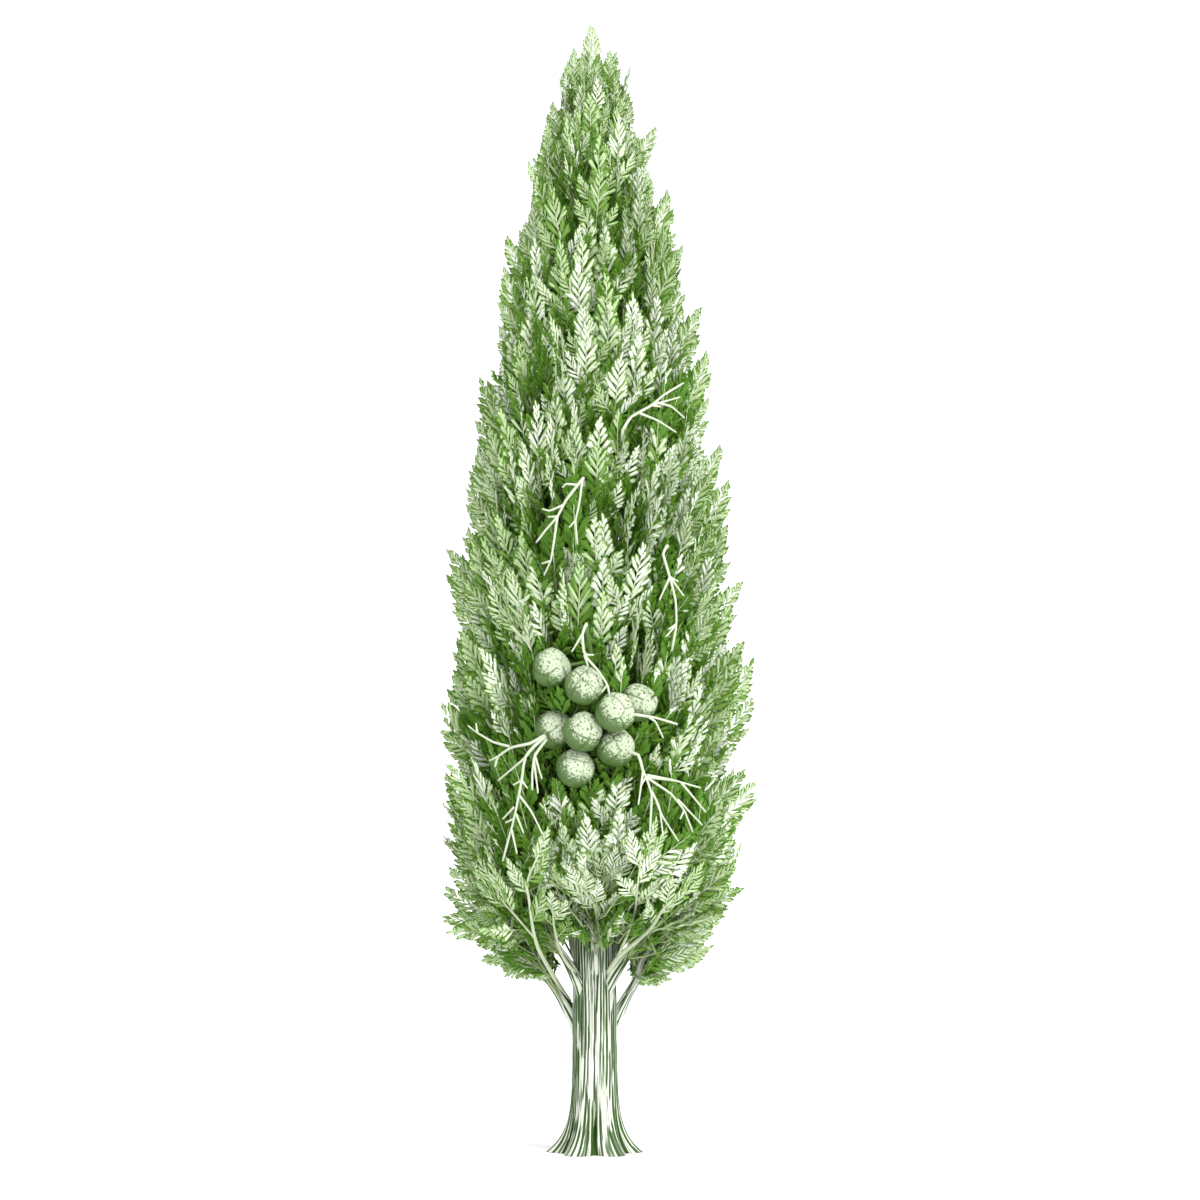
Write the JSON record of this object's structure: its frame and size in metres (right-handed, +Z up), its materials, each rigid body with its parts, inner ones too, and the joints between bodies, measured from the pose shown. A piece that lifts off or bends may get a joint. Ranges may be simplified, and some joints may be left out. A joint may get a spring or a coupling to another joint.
{
  "type": "mediterranean cypress tree",
  "caption": "Tall evergreen tree: bare flared bole, ascending boughs, a narrow spindle crown of upright scale-leaf sprays, and a fruiting branch of round cones at the front.",
  "frame": {"origin": "centre of the trunk's flat cut at ground level", "axes": "+Z up the trunk, -Y towards the side with the fruiting branch, +X to the right of that view"},
  "size_m": [3.1878, 3.309, 12],
  "materials": {
    "bark": "rough, furrowed",
    "foliage": "matt green",
    "cone_and_twig": "matt, grey green"
  },
  "bodies": {
    "root": {"bough_back_left": "bark", "bough_back_right": "bark", "bough_front": "bark", "bough_front_left": "bark", "bough_front_right": "bark", "bough_left": "bark", "bough_right": "bark", "foliage_1_1": "foliage", "foliage_1_2": "foliage", "foliage_1_3": "foliage", "foliage_1_4": "foliage", "foliage_1_5": "foliage", "foliage_1_6": "foliage", "foliage_1_7": "foliage", "foliage_2_1": "foliage", "foliage_2_2": "foliage", "foliage_2_3": "foliage", "foliage_2_4": "foliage", "foliage_2_5": "foliage", "foliage_2_6": "foliage", "foliage_3_1": "foliage", "foliage_3_2": "foliage", "foliage_3_3": "foliage", "foliage_3_4": "foliage", "foliage_3_5": "foliage", "foliage_3_6": "foliage", "foliage_4_1": "foliage", "foliage_4_2": "foliage", "foliage_4_3": "foliage", "foliage_4_4": "foliage", "foliage_4_5": "foliage", "foliage_4_6": "foliage", "foliage_5_1": "foliage", "foliage_5_2": "foliage", "foliage_5_3": "foliage", "foliage_5_4": "foliage", "foliage_5_5": "foliage", "foliage_6_1": "foliage", "foliage_6_2": "foliage", "foliage_6_3": "foliage", "foliage_6_4": "foliage", "foliage_7_1": "foliage", "foliage_7_2": "foliage", "foliage_7_3": "foliage", "foliage_top": "foliage", "fruiting_branch": "cone_and_twig", "trunk": "bark"}
  },
  "joints": []
}
